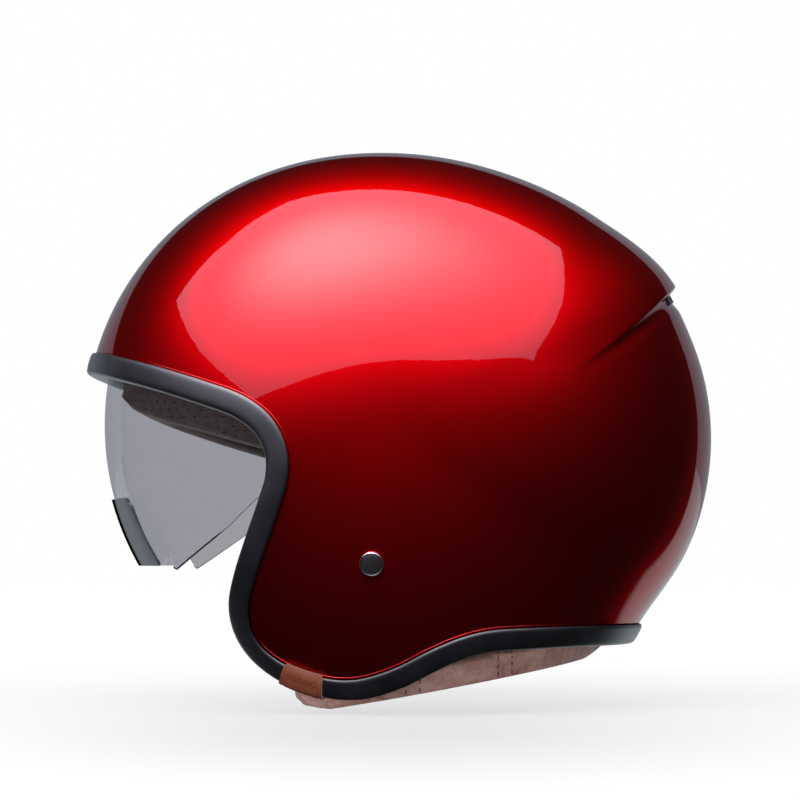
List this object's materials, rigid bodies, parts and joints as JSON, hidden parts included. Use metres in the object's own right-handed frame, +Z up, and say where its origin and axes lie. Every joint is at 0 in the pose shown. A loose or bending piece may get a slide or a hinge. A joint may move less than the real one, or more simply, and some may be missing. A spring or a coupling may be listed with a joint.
{
  "type": "motorcycle helmet",
  "caption": "Open-face motorcycle helmet: glossy shell with rubber edge trim, drop-down clear visor with pull lip, padded leather-look lining and a chin strap with D-rings.",
  "frame": {"origin": "bottom centre of the helmet's bounding box, on the floor it stands on", "axes": "+Z up as worn, -X forward through the face opening, -Y the wearer's left"},
  "size_m": [0.2855, 0.2356, 0.2516],
  "materials": {
    "candy_red_paint": "candy red metallic under gloss clear coat, on an ABS shell",
    "black_rubber": "satin black extruded edge trim",
    "eps_foam": "black expanded polystyrene beads",
    "perforated_suede": "dark brown perforated suede, soft nap",
    "brown_leatherette": "distressed brown leatherette with twin stitching",
    "tan_leather": "waxed tan leather, pale worn edge",
    "clear_polycarbonate": "polished clear polycarbonate, light grey tint",
    "smoked_polycarbonate": "polished smoke-grey polycarbonate",
    "black_plastic": "fine moulded texture, black nylon",
    "chrome": "polished chrome plate",
    "zinc_steel": "zinc-plated steel, fine turning marks",
    "white_nylon": "natural white nylon",
    "black_webbing": "woven black polyester webbing"
  },
  "bodies": {
    "helmet": {"outer_shell": "candy_red_paint", "edge_trim": "black_rubber", "rear_vent_grille": "black_plastic", "leather_tab": "tan_leather", "eps_liner": "eps_foam", "eps_cheek_left": "eps_foam", "eps_cheek_right": "eps_foam", "crown_pad": "perforated_suede", "brow_pad": "perforated_suede", "cheek_pad_left": "perforated_suede", "cheek_pad_right": "perforated_suede", "neck_roll": "brown_leatherette", "cheek_snap_left_1": "zinc_steel", "cheek_snap_left_2": "zinc_steel", "cheek_snap_right_1": "zinc_steel", "cheek_snap_right_2": "zinc_steel", "visor_base_left": "black_plastic", "visor_base_right": "black_plastic", "friction_washer_left": "white_nylon", "friction_washer_right": "white_nylon", "pivot_screw_left": "zinc_steel", "pivot_screw_right": "zinc_steel", "detent_spring_left": "zinc_steel", "detent_spring_right": "zinc_steel", "strap_rivet_left": "chrome", "strap_rivet_right": "chrome", "rivet_cap_left": "black_plastic", "rivet_cap_right": "black_plastic", "strap_backing_plate_left": "zinc_steel", "strap_backing_plate_right": "zinc_steel", "strap_upper_left": "black_webbing", "strap_upper_right": "black_webbing"},
    "visor": {"visor": "clear_polycarbonate", "visor_pull_lip": "smoked_polycarbonate", "pivot_bush_left": "white_nylon", "pivot_bush_right": "white_nylon"},
    "strap_left": {"strap_left": "black_webbing", "strap_cover_left": "black_webbing"},
    "d_ring_outer": {"d_ring_outer": "chrome"},
    "d_ring_inner": {"d_ring_inner": "chrome"},
    "strap_right": {"strap_right": "black_webbing", "strap_cover_right": "black_webbing", "strap_snap": "zinc_steel"}
  },
  "joints": [
    {"name": "visor_lift", "type": "hinge", "parent": "helmet", "child": "visor", "pos_m": [-0.0127, 0, 0.1241], "axis": [0, 1, 0], "range_deg": [0, 36]},
    {"name": "strap_left_swing", "type": "hinge", "parent": "helmet", "child": "strap_left", "pos_m": [-0.0118, -0.063, 0.0199], "axis": [-1, 0, 0], "range_deg": [0, 150]},
    {"name": "strap_right_swing", "type": "hinge", "parent": "helmet", "child": "strap_right", "pos_m": [-0.0118, 0.063, 0.0199], "axis": [1, 0, 0], "range_deg": [0, 150]},
    {"name": "d_ring_inner_swing", "type": "hinge", "parent": "strap_left", "child": "d_ring_inner", "pos_m": [-0.0118, -0.059, 0.1079], "axis": [-1, 0, 0], "range_deg": [0, 60]},
    {"name": "d_ring_outer_swing", "type": "hinge", "parent": "strap_left", "child": "d_ring_outer", "pos_m": [-0.0118, -0.063, 0.1079], "axis": [-1, 0, 0], "range_deg": [0, 30]}
  ],
  "couplings": [
    {"joint": "d_ring_outer_swing", "follows": "d_ring_inner_swing", "ratio": 0.5}
  ]
}
